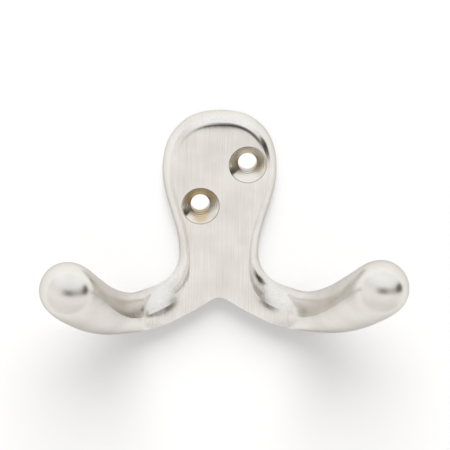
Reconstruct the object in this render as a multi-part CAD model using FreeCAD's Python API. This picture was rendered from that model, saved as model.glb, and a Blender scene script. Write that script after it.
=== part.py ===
import FreeCAD, Part
import math
import os

from FreeCAD import Vector

# Double robe hook: one casting with two arms that end in balls and two countersunk screw holes.
# Millimetres. The wall is the plane y = 0 and the room lies towards -Y. +X is right and +Z is up.
# The origin is on the wall face, on the plate's middle line, halfway in height between the screws.

# Plate, as seen from the front
head_width = 25.1
head_rise = 13.5
head_squareness = 2.3
head_above_origin = 2.65
waist_width = 17.6
waist_drop = 19.35
arch_drop = 8.7
arch_radius = 3.0
arch_allowance = 1.0
flare_radius = 8.0

# Plate, as seen from the side
plate_thickness = 4.0
rim_thickness = 1.3
bevel_width = 2.3
bevel_shoulder_in = 0.42
bevel_shoulder_down = 0.3
crease_rounding = 0.28
head_roll_off = 0.2
arm_roll_off = 0.35
behind_wall = 0.6

# Screw holes, for a number 8 or 4 mm countersunk wood screw
screw_hole = 4.2
countersink = 8.4
countersink_angle = 90.0
screw_spacing_across = 10.3
screw_spacing_up = 9.4
screw_pair_offset = 0.85

# Arms and balls
root_turn = 60.0
root_height = 8.1
root_facet = 4.4
root_reach = 13.0
ball_diameter = 12.3
ball_spread = 66.6
ball_projection = 26.5
ball_above_arch = 9.2
ball_reach = 12.0
ball_upward_angle = 33.0
ball_outward_angle = 25.0

FRONT = Vector(0, -1, 0)
waist_z = head_above_origin - waist_drop
arch_apex = Vector(0, 0, waist_z - arch_drop)
low_apex = arch_apex - Vector(0, 0, arch_allowance)
flare_centre = Vector(waist_width / 2 + flare_radius, 0, waist_z)


def mix(a, b, share):
    return a * (1 - share) + b * share


def ease(share, start=0.0, end=1.0):
    """A smooth step from 0 at start to 1 at end."""
    share = min(max((share - start) / (end - start), 0.0), 1.0)
    return share * share * (3 - 2 * share)


def unit(angle):
    """The direction at this angle in the plane of the wall, from +X towards +Z."""
    return Vector(math.cos(math.radians(angle)), 0, math.sin(math.radians(angle)))


def head_point(angle):
    """A point on the head's outline, a superellipse a little squarer than an ellipse."""
    way = unit(angle)
    power = 2 / head_squareness
    x = math.copysign(abs(way.x) ** power, way.x) * head_width / 2
    return Vector(x, 0, head_above_origin + head_rise * abs(way.z) ** power)


def side_point(share):
    """A point on the side between the head's widest line and the waist, a half wave."""
    half = mix(head_width, waist_width, (1 - math.cos(math.pi * share)) / 2) / 2
    return Vector(half, 0, head_above_origin - waist_drop * share)


def flare_point(angle):
    """A point on the arc by which the waist turns into the arm's upper edge."""
    return flare_centre - unit(angle) * flare_radius


def root_low():
    """The lower edge of the arm's root, where the arch ends."""
    return flare_point(root_turn) - unit(root_turn) * root_height


def outward(outline, at, step):
    """The outline's normal in the plane of the wall, away from the metal."""
    along = outline(at + step) - outline(at - step)
    return Vector(-along.z, 0, along.x).normalize()


def closed_section(corners, leave, arrive):
    """Twelve poles of a closed section: four cubic sides, each with its corner and two handles."""
    poles = []
    for index, corner in enumerate(corners):
        poles += [corner, leave[index], arrive[index]]
    return poles


def bevelled_section(top, bottom, up, front, thickness, facet, rim, roll_off):
    """A section with a rim and a convex bevel of width facet at its top.

    It spans from top to bottom at its back. Its face rolls off towards the bevel, and roll_off is the
    share of the face that does.
    """
    depth = front * thickness
    crease = front * (thickness - crease_rounding)
    fall = (thickness - crease_rounding - rim) * bevel_shoulder_down
    shoulder = top - up * facet * bevel_shoulder_in + crease - front * fall
    below = top - up * facet
    corners = [top, below + crease, bottom + depth, bottom]
    first, second = 1 / 3, 2 / 3
    leave = [top + front * rim, mix(below, bottom, roll_off) + depth]
    leave += [bottom + depth * second, mix(bottom, top, first)]
    arrive = [shoulder, mix(below, bottom, second) + depth]
    arrive += [bottom + depth * first, mix(bottom, top, second)]
    return closed_section(corners, leave, arrive)


def plate_section(edge, normal, inner, facet, roll_off=head_roll_off):
    """A section of the plate, from its outline to an inner point, deeper than the wall face."""
    back = FRONT * -behind_wall
    thickness = plate_thickness + behind_wall
    rim = rim_thickness + behind_wall
    return bevelled_section(edge + back, inner + back, normal, FRONT, thickness, facet, rim, roll_off)


def arm_section(centre, up, front, height, depth, facet, roundness, crease_fade):
    """A section of the arm, between the plate's bevelled section and an ellipse.

    The crease, with its two handles, turns into the ellipse later than the rest does.
    """
    top = centre - front * depth / 2 + up * height / 2
    rim = depth * (rim_thickness + behind_wall) / (plate_thickness + behind_wall)
    bevelled = bevelled_section(top, top - up * height, up, front, depth, facet, rim, arm_roll_off)
    oval = oval_section(centre, up, front, height, depth)
    shares = [roundness] * 2 + [crease_fade] * 3 + [roundness] * 7
    return [mix(a, b, share) for a, b, share in zip(bevelled, oval, shares)]


def oval_section(centre, up, front, height, depth):
    """An ellipse in four arcs, which start where the corners of the plate's section fade out."""
    starts = [115.0, 0.0, -75.0, -160.0]
    corners, leave, arrive = [], [], []
    for index, start in enumerate(starts):
        end = starts[(index + 1) % 4]
        if end > start:
            end -= 360
        handle = math.tan(math.radians(end - start) / 4) * 4 / 3
        for angle, sign, store in ((start, 1, leave), (end, -1, arrive)):
            c, s = math.cos(math.radians(angle)), math.sin(math.radians(angle))
            point = centre + up * (s * height / 2) + front * (c * depth / 2)
            turn = up * (c * height / 2) - front * (s * depth / 2)
            store.append(point + turn * handle * sign)
            if sign == 1:
                corners.append(point)
    return closed_section(corners, leave, arrive)


def plate_sections():
    """Sections round the right half of the plate, from just left of the top to the arm's root.

    Each goes from the outline to an inner point. Inner points left of the middle line are trimmed off.
    In the head they lie lower than the outline and further left with it, so that no sections cross.
    """
    inside = -3.0
    first_depth, inner_rise, inner_follow = head_rise * 0.4, head_rise * 0.45, 0.6
    first = head_point(124)
    sections = [plate_section(first, unit(90), first - unit(90) * first_depth, bevel_width)]
    for angle in (107, 90, 73, 55, 38, 22, 8):
        edge = head_point(angle)
        height = head_above_origin + inner_rise * math.sin(math.radians(angle))
        inner = Vector(inside + min(edge.x, 0) * inner_follow, 0, height)
        sections.append(plate_section(edge, outward(head_point, angle, -0.5), inner, bevel_width))
    for share in (0.12, 0.35, 0.6, 0.84):
        edge = side_point(share)
        inner = Vector(inside, 0, edge.z)
        sections.append(plate_section(edge, outward(side_point, share, 0.01), inner, bevel_width))
    arch_side = root_low() - low_apex
    waist_inner = Vector(inside, 0, waist_z)
    # The share of the flare's turn, and the inner point there, which goes down to the arch and along it
    inner_points = [
        (0.0, waist_inner),
        (0.22, mix(waist_inner, low_apex - arch_side * 0.3, 0.6)),
        (0.44, low_apex - arch_side * 0.22),
        (0.72, low_apex + arch_side * 0.36),
        (1.0, root_low()),
    ]
    for share, inner in inner_points:
        angle = root_turn * share
        facet = mix(bevel_width, root_facet, ease(share))
        roll_off = mix(head_roll_off, arm_roll_off, ease(share))
        sections.append(plate_section(flare_point(angle), unit(angle), inner, facet, roll_off))
    return sections


def arm_sections():
    """Sections along the arm's middle curve, and over the front half of the ball.

    Each change of the section runs between two shares of the curve's length.
    """
    standing_up, rounding = (0.0, 0.3), (0.0, 0.36)
    swelling, deepening, crease_fading = (0.1, 0.85), (-0.1, 0.9), (0.1, 0.95)
    start_depth = plate_thickness + behind_wall
    start = flare_point(root_turn) - unit(root_turn) * root_height / 2
    start += FRONT * (plate_thickness - behind_wall) / 2
    start_way = unit(root_turn - 90)
    ball = Vector(ball_spread / 2, -ball_projection, arch_apex.z + ball_above_arch)
    level = unit(ball_outward_angle)
    rise = math.radians(ball_upward_angle)
    ball_way = Vector(level.z * math.cos(rise), -level.x * math.cos(rise), math.sin(rise))
    path = Part.BezierCurve()
    path.setPoles([start, start + start_way * root_reach, ball - ball_way * ball_reach, ball])
    sections = []
    for share in (0.12, 0.24, 0.36, 0.48, 0.6, 0.72, 0.84, 1.0):
        centre = path.value(share)
        along = Vector(*path.tangent(share)[0])
        lean = mix(unit(root_turn), Vector(0, 0, 1), ease(share, *standing_up))
        up = (lean - along * lean.dot(along)).normalize()
        front = along.cross(up)
        height = mix(root_height, ball_diameter, ease(share, *swelling))
        depth = mix(start_depth, ball_diameter, ease(share, *deepening))
        facet = root_facet * height / root_height
        roundness, crease_fade = ease(share, *rounding), ease(share, *crease_fading)
        sections.append(arm_section(centre, up, front, height, depth, facet, roundness, crease_fade))
    for latitude in (22, 44, 64, 79, 88):
        angle = math.radians(latitude)
        centre = ball + ball_way * (math.sin(angle) * ball_diameter / 2)
        width = ball_diameter * math.cos(angle)
        sections.append(oval_section(centre, up, front, width, width))
    return sections


def smooth_solid(plate, arm):
    """A solid whose four sides run smoothly through all sections, each side one surface.

    All sections of the plate have the same depths, so its poles are set to them, free of ripples.
    """
    sections = plate + arm
    travelled = [0.0]
    for here, there in zip(sections, sections[1:]):
        steps = [(there[pole] - here[pole]).Length for pole in (0, 3, 6, 9)]
        travelled.append(travelled[-1] + sum(steps) / 4)
    tracks = []
    for pole in range(12):
        track = Part.BSplineCurve()
        track.interpolate(Points=[section[pole] for section in sections], Parameters=travelled)
        for index in range(1, len(plate) + 2):
            level = track.getPole(index)
            level.y = plate[0][pole].y
            track.setPole(index, level)
        tracks.append(track)
    faces = []
    for corner in (0, 3, 6, 9):
        group = [tracks[(corner + step) % 12] for step in range(4)]
        poles = list(zip(*[track.getPoles() for track in group]))
        knots, counts = group[0].getKnots(), group[0].getMultiplicities()
        surface = Part.BSplineSurface()
        surface.buildFromPolesMultsKnots(poles, counts, [4, 4], knots, [0, 1], False, False, 3, 3)
        faces.append(surface.toShape())
    for section in (sections[0], sections[-1]):
        sides = []
        for corner in (0, 3, 6, 9):
            side = Part.BezierCurve()
            side.setPoles([section[(corner + step) % 12] for step in range(4)])
            sides.append(side.toShape())
        faces.append(Part.Face(Part.Wire(sides)))
    shell = Part.makeShell(faces)
    shell.sewShape()
    solid = Part.Solid(shell)
    if solid.Volume < 0:
        solid.reverse()
    return solid


def screw_cutter(x, z):
    """A screw hole with its countersink, open at both faces of the plate."""
    beyond = 1.0
    radius = screw_hole / 2
    slope = math.tan(math.radians(countersink_angle / 2))
    depth = (countersink / 2 - radius) / slope
    bottom = Vector(x, depth - plate_thickness, z)
    hole = Part.makeCylinder(radius, plate_thickness + 2 * beyond, Vector(x, beyond, z), FRONT)
    sink = Part.makeCone(radius, radius + (depth + beyond) * slope, depth + beyond, bottom, FRONT)
    return hole.fuse(sink)


def arch_cutter():
    """The wedge between the arms, rounded at its top, which shapes the arch out of its allowance."""
    beyond, leaves_side_at = 1.0, 0.75
    side = mix(low_apex, root_low(), leaves_side_at) - arch_apex
    right = arch_apex + side * 2
    left = Vector(-right.x, 0, right.z)
    outline = Part.makePolygon([point - FRONT * beyond for point in (arch_apex, right, left, arch_apex)])
    wedge = Part.Face(outline).extrude(FRONT * (plate_thickness + 2 * beyond))
    top_middle = arch_apex + FRONT * plate_thickness / 2
    top = min(wedge.Edges, key=lambda edge: (edge.CenterOfMass - top_middle).Length)
    return wedge.makeFillet(arch_radius, [top])


def hook():
    reach = 2 * (ball_spread + ball_projection + head_rise + waist_drop)
    low = Vector(-reach / 2, 0, -reach / 2)
    wall = Part.makeBox(reach, reach, reach, low)
    right = Part.makeBox(reach, reach, reach, Vector(0, -reach / 2, -reach / 2))
    half = smooth_solid(plate_sections(), arm_sections()).cut(wall).common(right)
    body = half.fuse(half.mirror(Vector(0, 0, 0), Vector(1, 0, 0)))
    body = body.cut(arch_cutter())
    across, up = screw_spacing_across / 2, screw_spacing_up / 2
    for side in (1, -1):
        body = body.cut(screw_cutter(screw_pair_offset + side * across, side * up))
    return body.removeSplitter().Solids[0]


os.makedirs("parts", exist_ok=True)
part = hook()
print("valid", part.isValid(), "volume", round(part.Volume, 1), "faces", len(part.Faces))
part.exportStep("parts/double_robe_hook.step")
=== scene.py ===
import math

import bpy
import numpy as np
from mathutils import Matrix, Vector

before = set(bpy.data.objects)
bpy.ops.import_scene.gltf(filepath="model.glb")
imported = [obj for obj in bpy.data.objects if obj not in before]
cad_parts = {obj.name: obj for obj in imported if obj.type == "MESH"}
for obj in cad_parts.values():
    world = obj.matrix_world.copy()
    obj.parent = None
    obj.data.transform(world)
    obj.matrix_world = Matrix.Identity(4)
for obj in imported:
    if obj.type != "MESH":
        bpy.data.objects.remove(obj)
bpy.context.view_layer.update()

# The hook hangs on the wall plane y = 0. The room lies towards -Y, +X is right and +Z is up.
MM = 0.001

# Sizes of the casting in millimetres, as in the part's source
FACE_DEPTH = 4.0
HEAD_WIDTH, HEAD_RISE, HEAD_MIDDLE, HEAD_POWER = 25.1, 13.5, 2.65, 2.3
BEVEL_WIDTH = 2.3
COUNTERSINK_RADIUS = 4.2
BORE_RADIUS = 2.1
SCREW_HOLES = ((6.0, 4.7), (-4.3, -4.7))

# Where brass shows in each countersink: x, z and the share of brass there
BARE_BRASS = ((7.7, 4.4, 0.5), (-4.2, -6.8, 0.75))


def linear(hex_colour):
    """Linear RGBA of an sRGB hex colour."""
    values = []
    for start in (1, 3, 5):
        value = int(hex_colour[start:start + 2], 16) / 255
        values.append(value / 12.92 if value <= 0.04045 else ((value + 0.055) / 1.055) ** 2.4)
    return (*values, 1.0)


def add(tree, kind, settings=None, inputs=None):
    """Adds a node with its settings. An input is a value, or another node's output to link."""
    node = tree.nodes.new(kind)
    for name, value in (settings or {}).items():
        setattr(node, name, value)
    for name, value in (inputs or {}).items():
        if isinstance(value, bpy.types.NodeSocket):
            tree.links.new(value, node.inputs[name])
        else:
            node.inputs[name].default_value = value
    return node


def set_stops(ramp, points):
    """Sets a colour ramp's stops from (place, colour) pairs."""
    elements = ramp.color_ramp.elements
    while len(elements) < len(points):
        elements.new(0.5)
    for element, (place, colour) in zip(elements, points):
        element.position = place
        element.color = colour


def new_material(name):
    """A material that holds nothing but its shader so far."""
    material = bpy.data.materials.new(name)
    material.use_nodes = True
    tree = material.node_tree
    tree.nodes.clear()
    return material, tree, add(tree, "ShaderNodeBsdfPrincipled")


def satin_nickel():
    """Satin nickel plate on cast brass, brushed by hand along the plate's height.

    Nickel gives a warm grey mirror, and the brushing blurs it into soft bands. The countersinks were cut
    smooth before the plating, which is thin there, so brass shows as gold on one side of each.
    """
    material, tree, shader = new_material("satin_nickel_on_brass")
    place = add(tree, "ShaderNodeTexCoord").outputs["Object"]
    depth = add(tree, "ShaderNodeSeparateXYZ", inputs={0: place}).outputs["Y"]

    # How far each point is from the nearer screw's axis
    flat = add(tree, "ShaderNodeVectorMath", {"operation": "MULTIPLY"}, {0: place, 1: (1, 0, 1)}).outputs[0]
    distances = [add(tree, "ShaderNodeVectorMath", {"operation": "DISTANCE"},
                     {0: flat, 1: (x * MM, 0, z * MM)}).outputs["Value"] for x, z in SCREW_HOLES]
    away = add(tree, "ShaderNodeMath", {"operation": "MINIMUM"},
               {0: distances[0], 1: distances[1]}).outputs[0]

    # A point belongs to a countersink or bore where it is near the axis, between the plate's face and back
    back_edge, face_edge, well_below = 0.05, 0.02, 0.12
    off_the_back = add(tree, "ShaderNodeMath", {"operation": "LESS_THAN"}, {0: depth, 1: -back_edge * MM})
    below_face = add(tree, "ShaderNodeMapRange", {},
                     {"Value": depth, "From Min": (face_edge - FACE_DEPTH) * MM,
                      "From Max": (well_below - FACE_DEPTH) * MM})
    near_axis = add(tree, "ShaderNodeMath", {"operation": "LESS_THAN"},
                    {0: away, 1: COUNTERSINK_RADIUS * MM})
    near_hole = add(tree, "ShaderNodeMath", {"operation": "MULTIPLY"},
                    {0: near_axis.outputs[0], 1: off_the_back.outputs[0]})
    sunk = add(tree, "ShaderNodeMath", {"operation": "MULTIPLY"},
               {0: below_face.outputs[0], 1: near_hole.outputs[0]}).outputs[0]

    # Brush marks run up the plate, 0.3 mm apart and 12 mm long. Real ones are finer, too fine to show.
    # The arms, buffed by hand, keep a tenth of them. The marks go from -0.5 to 0.5
    marks_per_mm, buffed_from, buffed_to, marks_left = (3.3, 3.3, 0.08), -5, -18, 0.1
    stretched = add(tree, "ShaderNodeMapping", {},
                    {"Vector": place, "Scale": tuple(count / MM for count in marks_per_mm)})
    grain = add(tree, "ShaderNodeTexNoise", {},
                {"Vector": stretched.outputs[0], "Scale": 1.0, "Detail": 3.0, "Roughness": 0.6})
    both_ways = add(tree, "ShaderNodeMath", {"operation": "SUBTRACT"}, {0: grain.outputs[0], 1: 0.5})
    buffed = add(tree, "ShaderNodeMapRange", {"interpolation_type": "SMOOTHSTEP"},
                 {"Value": depth, "From Min": buffed_from * MM, "From Max": buffed_to * MM}).outputs[0]
    fading = add(tree, "ShaderNodeMapRange", {}, {"Value": buffed, "To Min": 1.0, "To Max": marks_left})
    marks = add(tree, "ShaderNodeMath", {"operation": "MULTIPLY"},
                {0: both_ways.outputs[0], 1: fading.outputs[0]}).outputs[0]

    # Nickel is a little warmer and darker in faint blotches 6 mm across and along the brush marks
    blotches_per_mm, dullest, brightest = 0.16, 0.2, 0.8
    blotches = add(tree, "ShaderNodeTexNoise", {},
                   {"Vector": place, "Scale": blotches_per_mm / MM, "Detail": 2.0})
    mottled = add(tree, "ShaderNodeMath", {"operation": "ADD"}, {0: blotches.outputs[0], 1: marks})
    brightness = add(tree, "ShaderNodeMapRange", {},
                     {"Value": mottled.outputs[0], "From Min": dullest, "From Max": brightest})
    nickel = add(tree, "ShaderNodeMix", {"data_type": "RGBA"},
                 {"Factor": brightness.outputs[0], "A": linear("#E0DCD6"), "B": linear("#F0EEEA")})

    # Painted shade: a dark line painted into the crease under the head's top bevel, most of it at the right,
    # standing in for the shade and dark reflection there. The crease is the head's outline, a superellipse,
    # drawn in by the bevel's width. On it, the two shares of the half width and half height, each raised to
    # the outline's power, add up to 1
    half_width, half_height = HEAD_WIDTH / 2 - BEVEL_WIDTH, HEAD_RISE - BEVEL_WIDTH
    line_edge, line_core = 0.5, 0.1
    in_head = add(tree, "ShaderNodeMapping", {"vector_type": "TEXTURE"},
                  {"Vector": place, "Location": (0, 0, HEAD_MIDDLE * MM),
                   "Scale": (half_width * MM, 1, half_height * MM)})
    shares = add(tree, "ShaderNodeSeparateXYZ", inputs={0: in_head.outputs[0]})
    powers = []
    for axis in ("X", "Z"):
        size = add(tree, "ShaderNodeMath", {"operation": "ABSOLUTE"}, {0: shares.outputs[axis]})
        raised = add(tree, "ShaderNodeMath", {"operation": "POWER"}, {0: size.outputs[0], 1: HEAD_POWER})
        powers.append(raised.outputs[0])
    total = add(tree, "ShaderNodeMath", {"operation": "ADD"}, {0: powers[0], 1: powers[1]})
    reach = add(tree, "ShaderNodeMath", {"operation": "POWER"}, {0: total.outputs[0], 1: 1 / HEAD_POWER})
    beyond = add(tree, "ShaderNodeMath", {"operation": "SUBTRACT"}, {0: reach.outputs[0], 1: 1.0})
    off_crease = add(tree, "ShaderNodeMath", {"operation": "ABSOLUTE"}, {0: beyond.outputs[0]})
    line = add(tree, "ShaderNodeMapRange", {"interpolation_type": "SMOOTHSTEP"},
               {"Value": off_crease.outputs[0], "From Min": line_edge / half_height,
                "From Max": line_core / half_height})

    # The painted shade line fades in up the head's sides, and grows stronger from left to right
    fade_from, fade_to, weak_at, strong_at, weak, strong = 0.35, 0.75, -0.9, 0.4, 0.1, 0.85
    upper = add(tree, "ShaderNodeMapRange", {"interpolation_type": "SMOOTHSTEP"},
                {"Value": shares.outputs["Z"], "From Min": fade_from, "From Max": fade_to})
    right = add(tree, "ShaderNodeMapRange", {"interpolation_type": "SMOOTHSTEP"},
                {"Value": shares.outputs["X"], "From Min": weak_at, "From Max": strong_at,
                 "To Min": weak, "To Max": strong})
    painted_crease_shade = line
    for limit in (upper, right, off_the_back):
        painted_crease_shade = add(tree, "ShaderNodeMath", {"operation": "MULTIPLY"},
                     {0: painted_crease_shade.outputs[0], 1: limit.outputs[0]})
    # The painted crease shade darkens the nickel towards a dark brown
    crease_shaded_colour = add(tree, "ShaderNodeMix", {"data_type": "RGBA"},
                  {"Factor": painted_crease_shade.outputs[0], "A": nickel.outputs["Result"], "B": linear("#453D32")})

    # The brass shows in a soft spot 4 mm across on one side of each countersink, and hardly elsewhere
    spot_edge, spot_core, elsewhere = 2.6, 1.0, 0.04
    spots = []
    for x, z, share in BARE_BRASS:
        off_spot = add(tree, "ShaderNodeVectorMath", {"operation": "DISTANCE"},
                       {0: flat, 1: (x * MM, 0, z * MM)})
        spot = add(tree, "ShaderNodeMapRange", {"interpolation_type": "SMOOTHSTEP"},
                   {"Value": off_spot.outputs["Value"], "From Min": spot_edge * MM,
                    "From Max": spot_core * MM, "To Min": elsewhere, "To Max": share})
        spots.append(spot.outputs[0])
    bare = add(tree, "ShaderNodeMath", {"operation": "MAXIMUM"}, {0: spots[0], 1: spots[1]})
    cut = add(tree, "ShaderNodeMix", {"data_type": "RGBA"},
              {"Factor": bare.outputs[0], "A": linear("#E9E5DD"), "B": linear("#C4AB7B")})
    clean = add(tree, "ShaderNodeMix", {"data_type": "RGBA"},
                {"Factor": sunk, "A": crease_shaded_colour.outputs["Result"], "B": cut.outputs["Result"]})

    # Painted shade: a dark ring painted in the last 0.15 mm under each countersink's edge, standing in for
    # the shadow line at that edge
    ring_inner, ring_outer, ring_share = 0.22, 0.08, 0.75
    ring = add(tree, "ShaderNodeMapRange", {},
               {"Value": away, "From Min": (COUNTERSINK_RADIUS - ring_inner) * MM,
                "From Max": (COUNTERSINK_RADIUS - ring_outer) * MM, "To Max": ring_share})
    painted_rim_shade = add(tree, "ShaderNodeMath", {"operation": "MULTIPLY"},
                  {0: ring.outputs[0], 1: near_hole.outputs[0]})
    # The painted rim shade darkens the colour towards a dark grey
    colour = add(tree, "ShaderNodeMix", {"data_type": "RGBA"},
                 {"Factor": painted_rim_shade.outputs[0], "A": clean.outputs["Result"], "B": linear("#8A8378")})
    tree.links.new(colour.outputs["Result"], shader.inputs["Base Color"])
    shader.inputs["Metallic"].default_value = 1.0
    shader.inputs["Specular Tint"].default_value = linear("#D8D5D0")

    # Satin on the plate, duller on the arms, rougher along the brush marks, and smooth in the cut cones.
    # It stays under 0.27, past which the clean-up of the render's noise draws a line across the arms
    on_plate, on_arms, in_cones, along_marks = 0.20, 0.265, 0.10, 0.15
    dulled = add(tree, "ShaderNodeMapRange", {}, {"Value": buffed, "To Min": on_plate, "To Max": on_arms})
    brushed = add(tree, "ShaderNodeMath", {"operation": "MULTIPLY_ADD"},
                  {0: marks, 1: along_marks, 2: dulled.outputs[0]})
    roughness = add(tree, "ShaderNodeMix", {"data_type": "FLOAT"},
                    {"Factor": sunk, "A": brushed.outputs[0], "B": in_cones})
    tree.links.new(roughness.outputs[0], shader.inputs["Roughness"])

    # Cutter marks run round each countersink, 0.35 mm apart. They and the brush marks are thousandths of a
    # millimetre deep
    cutter_pitch, mark_depth, softened = 0.35, 0.01, 0.4
    turns = add(tree, "ShaderNodeMath", {"operation": "MULTIPLY"},
                {0: away, 1: 2 * math.pi / (cutter_pitch * MM)})
    rings = add(tree, "ShaderNodeMath", {"operation": "SINE"}, {0: turns.outputs[0]})
    height = add(tree, "ShaderNodeMix", {"data_type": "FLOAT"},
                 {"Factor": sunk, "A": marks, "B": rings.outputs[0]})
    relief = add(tree, "ShaderNodeBump", {},
                 {"Strength": softened, "Distance": mark_depth * MM, "Height": height.outputs[0]})
    tree.links.new(relief.outputs[0], shader.inputs["Normal"])
    add(tree, "ShaderNodeOutputMaterial", inputs={"Surface": shader.outputs[0]})
    return material


def background_rays(tree):
    """The light path node, and 1 for a ray by which metal or glass shows what lies beyond it."""
    path = add(tree, "ShaderNodeLightPath")
    mirrored = add(tree, "ShaderNodeMath", {"operation": "MAXIMUM"},
                   {0: path.outputs["Is Glossy Ray"], 1: path.outputs["Is Transmission Ray"]})
    return path, mirrored.outputs[0]


def white_paper():
    """Matt uncoated white paper, with an open hole behind each screw hole.

    It has one side: it doesn't hide the hook's back from behind, nor does the back mirror it from less
    than a millimetre away.
    """
    lift, too_near = 0.06, 1.0
    material, tree, shader = new_material("matt_white_paper")
    shader.inputs["Base Color"].default_value = linear("#DDDDDD")
    shader.inputs["Roughness"].default_value = 1.0
    shader.inputs["Specular IOR Level"].default_value = 0.0
    path, mirrored = background_rays(tree)
    seen = add(tree, "ShaderNodeMath", {"operation": "MAXIMUM"},
               {0: path.outputs["Is Camera Ray"], 1: mirrored})
    glow = add(tree, "ShaderNodeMath", {"operation": "MULTIPLY"}, {0: seen.outputs[0], 1: lift})
    shader.inputs["Emission Color"].default_value = (1, 1, 1, 1)
    tree.links.new(glow.outputs[0], shader.inputs["Emission Strength"])

    # Where the paper is open
    short = add(tree, "ShaderNodeMath", {"operation": "LESS_THAN"},
                {0: path.outputs["Ray Length"], 1: too_near * MM})
    touching = add(tree, "ShaderNodeMath", {"operation": "MULTIPLY"}, {0: short.outputs[0], 1: mirrored})
    behind = add(tree, "ShaderNodeNewGeometry").outputs["Backfacing"]
    gone = add(tree, "ShaderNodeMath", {"operation": "MAXIMUM"}, {0: touching.outputs[0], 1: behind})
    place = add(tree, "ShaderNodeTexCoord").outputs["Object"]
    for x, z in SCREW_HOLES:
        away = add(tree, "ShaderNodeVectorMath", {"operation": "DISTANCE"},
                   {0: place, 1: (x * MM, 0, z * MM)})
        hole = add(tree, "ShaderNodeMath", {"operation": "LESS_THAN"},
                   {0: away.outputs["Value"], 1: BORE_RADIUS * MM})
        gone = add(tree, "ShaderNodeMath", {"operation": "MAXIMUM"}, {0: gone.outputs[0], 1: hole.outputs[0]})
    open_air = add(tree, "ShaderNodeBsdfTransparent")
    paper = add(tree, "ShaderNodeMixShader", {},
                {0: gone.outputs[0], 1: shader.outputs[0], 2: open_air.outputs[0]})
    add(tree, "ShaderNodeOutputMaterial", inputs={"Surface": paper.outputs[0]})
    return material


def backdrop():
    """A flat sheet of paper just behind the hook, 1.2 m wide and high."""
    half, back = 0.6, 0.0002
    corners = np.array([(-half, back, -half), (half, back, -half), (half, back, half), (-half, back, half)])
    mesh = bpy.data.meshes.new("backdrop")
    mesh.from_pydata(corners.tolist(), [], [(0, 1, 2, 3)])
    sheet = bpy.data.objects.new("backdrop", mesh)
    bpy.context.collection.objects.link(sheet)
    mesh.materials.append(white_paper())


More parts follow.
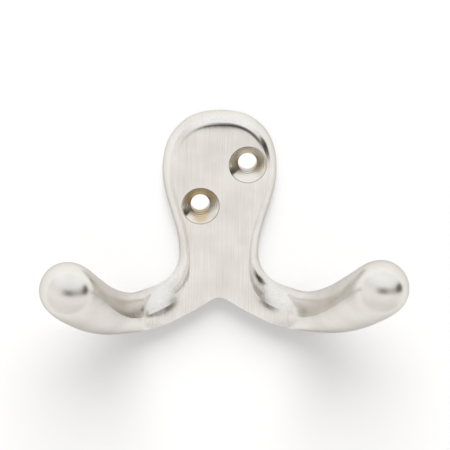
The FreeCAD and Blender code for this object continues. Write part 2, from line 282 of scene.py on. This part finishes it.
def studio():
    """A white tent over a pale floor, as the metal mirrors it.

    The tent's front opens in a dark gap just above the camera's height. The gap leans down to the right.
    It ends before the left side, is less deep towards the right, and has a black opening at its right end.
    """
    world = bpy.data.worlds.new("studio")
    bpy.context.scene.world = world
    world.use_nodes = True
    tree = world.node_tree
    tree.nodes.clear()
    way = add(tree, "ShaderNodeTexCoord").outputs["Generated"]
    parts = add(tree, "ShaderNodeSeparateXYZ", inputs={0: way})
    side, toward_wall = parts.outputs["X"], parts.outputs["Y"]

    # The tent's levels by the angle above the floor, leaning with the gap
    lean = math.radians(6)
    rise = add(tree, "ShaderNodeVectorMath", {"operation": "DOT_PRODUCT"},
               {0: way, 1: (math.sin(lean), 0, math.cos(lean))})
    angle_up = add(tree, "ShaderNodeMath", {"operation": "ARCSINE"}, {0: rise.outputs["Value"]})
    up_share = add(tree, "ShaderNodeMapRange", {},
                   {"Value": angle_up.outputs[0],
                    "From Min": math.radians(-90), "From Max": math.radians(90)})
    near_floor, far_floor = (0.82, 0.80, 0.78, 1), (0.96, 0.945, 0.93, 1)
    above_gap, roof = (0.86, 0.86, 0.86, 1), (1.03, 1.045, 1.07, 1)
    levels = ((-90, near_floor), (-45, near_floor), (-20, far_floor), (0, far_floor), (20, above_gap),
              (50, roof), (90, roof))
    tent = add(tree, "ShaderNodeValToRGB", {}, {0: up_share.outputs[0]})
    set_stops(tent, [((angle + 90) / 180, colour) for angle, colour in levels])

    # How much of the gap shows at each height, and at each place from left, -1, to right, 1
    none, full = (0, 0, 0, 1), (1, 1, 1, 1)
    edges = ((-5, none), (2, full), (14, full), (24, none))
    by_height = add(tree, "ShaderNodeValToRGB", {}, {0: up_share.outputs[0]})
    set_stops(by_height, [((angle + 90) / 180, colour) for angle, colour in edges])
    across_share = add(tree, "ShaderNodeMapRange", {}, {"Value": side, "From Min": -1.0, "From Max": 1.0})
    depths = ((-0.6, 0.0), (0.0, 1.0), (0.2, 1.0), (0.45, 0.6), (0.75, 0.6), (0.95, 1.0))
    across = add(tree, "ShaderNodeValToRGB", {}, {0: across_share.outputs[0]})
    across.color_ramp.interpolation = "EASE"
    set_stops(across, [((place + 1) / 2, (amount, amount, amount, 1)) for place, amount in depths])
    gap_share = add(tree, "ShaderNodeMath", {"operation": "MULTIPLY"},
                    {0: by_height.outputs[0], 1: across.outputs[0]})
    gap = add(tree, "ShaderNodeMix", {"data_type": "RGBA"},
              {"Factor": gap_share.outputs[0], "A": tent.outputs[0], "B": (0.16, 0.145, 0.12, 1)})

    # The opening is a soft disc on the sky
    opening, inner_angle, outer_angle = Vector((0.96, -0.24, 0.14)).normalized(), 9.1, 16.9
    nearness = add(tree, "ShaderNodeVectorMath", {"operation": "DOT_PRODUCT"}, {0: way, 1: opening})
    disc = add(tree, "ShaderNodeMapRange", {"interpolation_type": "SMOOTHSTEP"},
               {"Value": nearness.outputs["Value"], "From Min": math.cos(math.radians(outer_angle)),
                "From Max": math.cos(math.radians(inner_angle))})
    mirrored_tent = add(tree, "ShaderNodeMix", {"data_type": "RGBA"},
                        {"Factor": disc.outputs[0], "A": gap.outputs["Result"], "B": (0.03, 0.025, 0.018, 1)})

    # The camera sees plain white, and so does the metal in the half behind the hook
    path, mirrored = background_rays(tree)
    rear = add(tree, "ShaderNodeMapRange", {}, {"Value": toward_wall, "From Min": 0.0, "From Max": 0.05})
    mirrored_rear = add(tree, "ShaderNodeMath", {"operation": "MULTIPLY"}, {0: mirrored, 1: rear.outputs[0]})
    white = add(tree, "ShaderNodeMath", {"operation": "MAXIMUM"},
                {0: path.outputs["Is Camera Ray"], 1: mirrored_rear.outputs[0]})
    shown = add(tree, "ShaderNodeMix", {"data_type": "RGBA"},
                {"Factor": white.outputs[0], "A": mirrored_tent.outputs["Result"], "B": (1, 1, 1, 1)})
    light = add(tree, "ShaderNodeBackground", {}, {"Color": shown.outputs["Result"], "Strength": 1.0})
    add(tree, "ShaderNodeOutputWorld", inputs={"Surface": light.outputs[0]})


def overhead_lamp():
    """A soft lamp high in front, for the shadow on the paper. The metal doesn't mirror it."""
    side_length, power, place = 1.4, 54.0, Vector((0.0, -1.05, 1.8))
    data = bpy.data.lights.new("overhead_lamp", "AREA")
    data.shape = "SQUARE"
    data.size = side_length
    data.energy = power
    lamp = bpy.data.objects.new("overhead_lamp", data)
    bpy.context.collection.objects.link(lamp)
    lamp.matrix_world = Matrix.Translation(place) @ place.to_track_quat("Z", "Y").to_matrix().to_4x4()
    lamp.visible_glossy = False


def camera():
    """The photograph's view: 18 degrees from above, a little from the left."""
    target = Vector((1.1, -4.0, -9.05)) * MM
    distance, azimuth, elevation, roll = 0.6, math.radians(-3), math.radians(18), math.radians(0.6)
    away = Vector((math.sin(azimuth) * math.cos(elevation), -math.cos(azimuth) * math.cos(elevation),
                   math.sin(elevation)))
    data = bpy.data.cameras.new("camera")
    data.sensor_width = 36.0
    data.lens = 218.4
    data.clip_start = 0.01
    eye = bpy.data.objects.new("camera", data)
    bpy.context.collection.objects.link(eye)
    turn = (-away).to_track_quat("-Z", "Y").to_matrix().to_4x4()
    eye.matrix_world = Matrix.Translation(target + away * distance) @ turn @ Matrix.Rotation(roll, 4, "Z")
    bpy.context.scene.camera = eye


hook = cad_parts["double_robe_hook"]
metal = satin_nickel()
for index in range(len(hook.data.materials)):
    hook.material_slots[index].material = metal
backdrop()
studio()
overhead_lamp()
camera()
bpy.context.scene.view_settings.view_transform = "Standard"
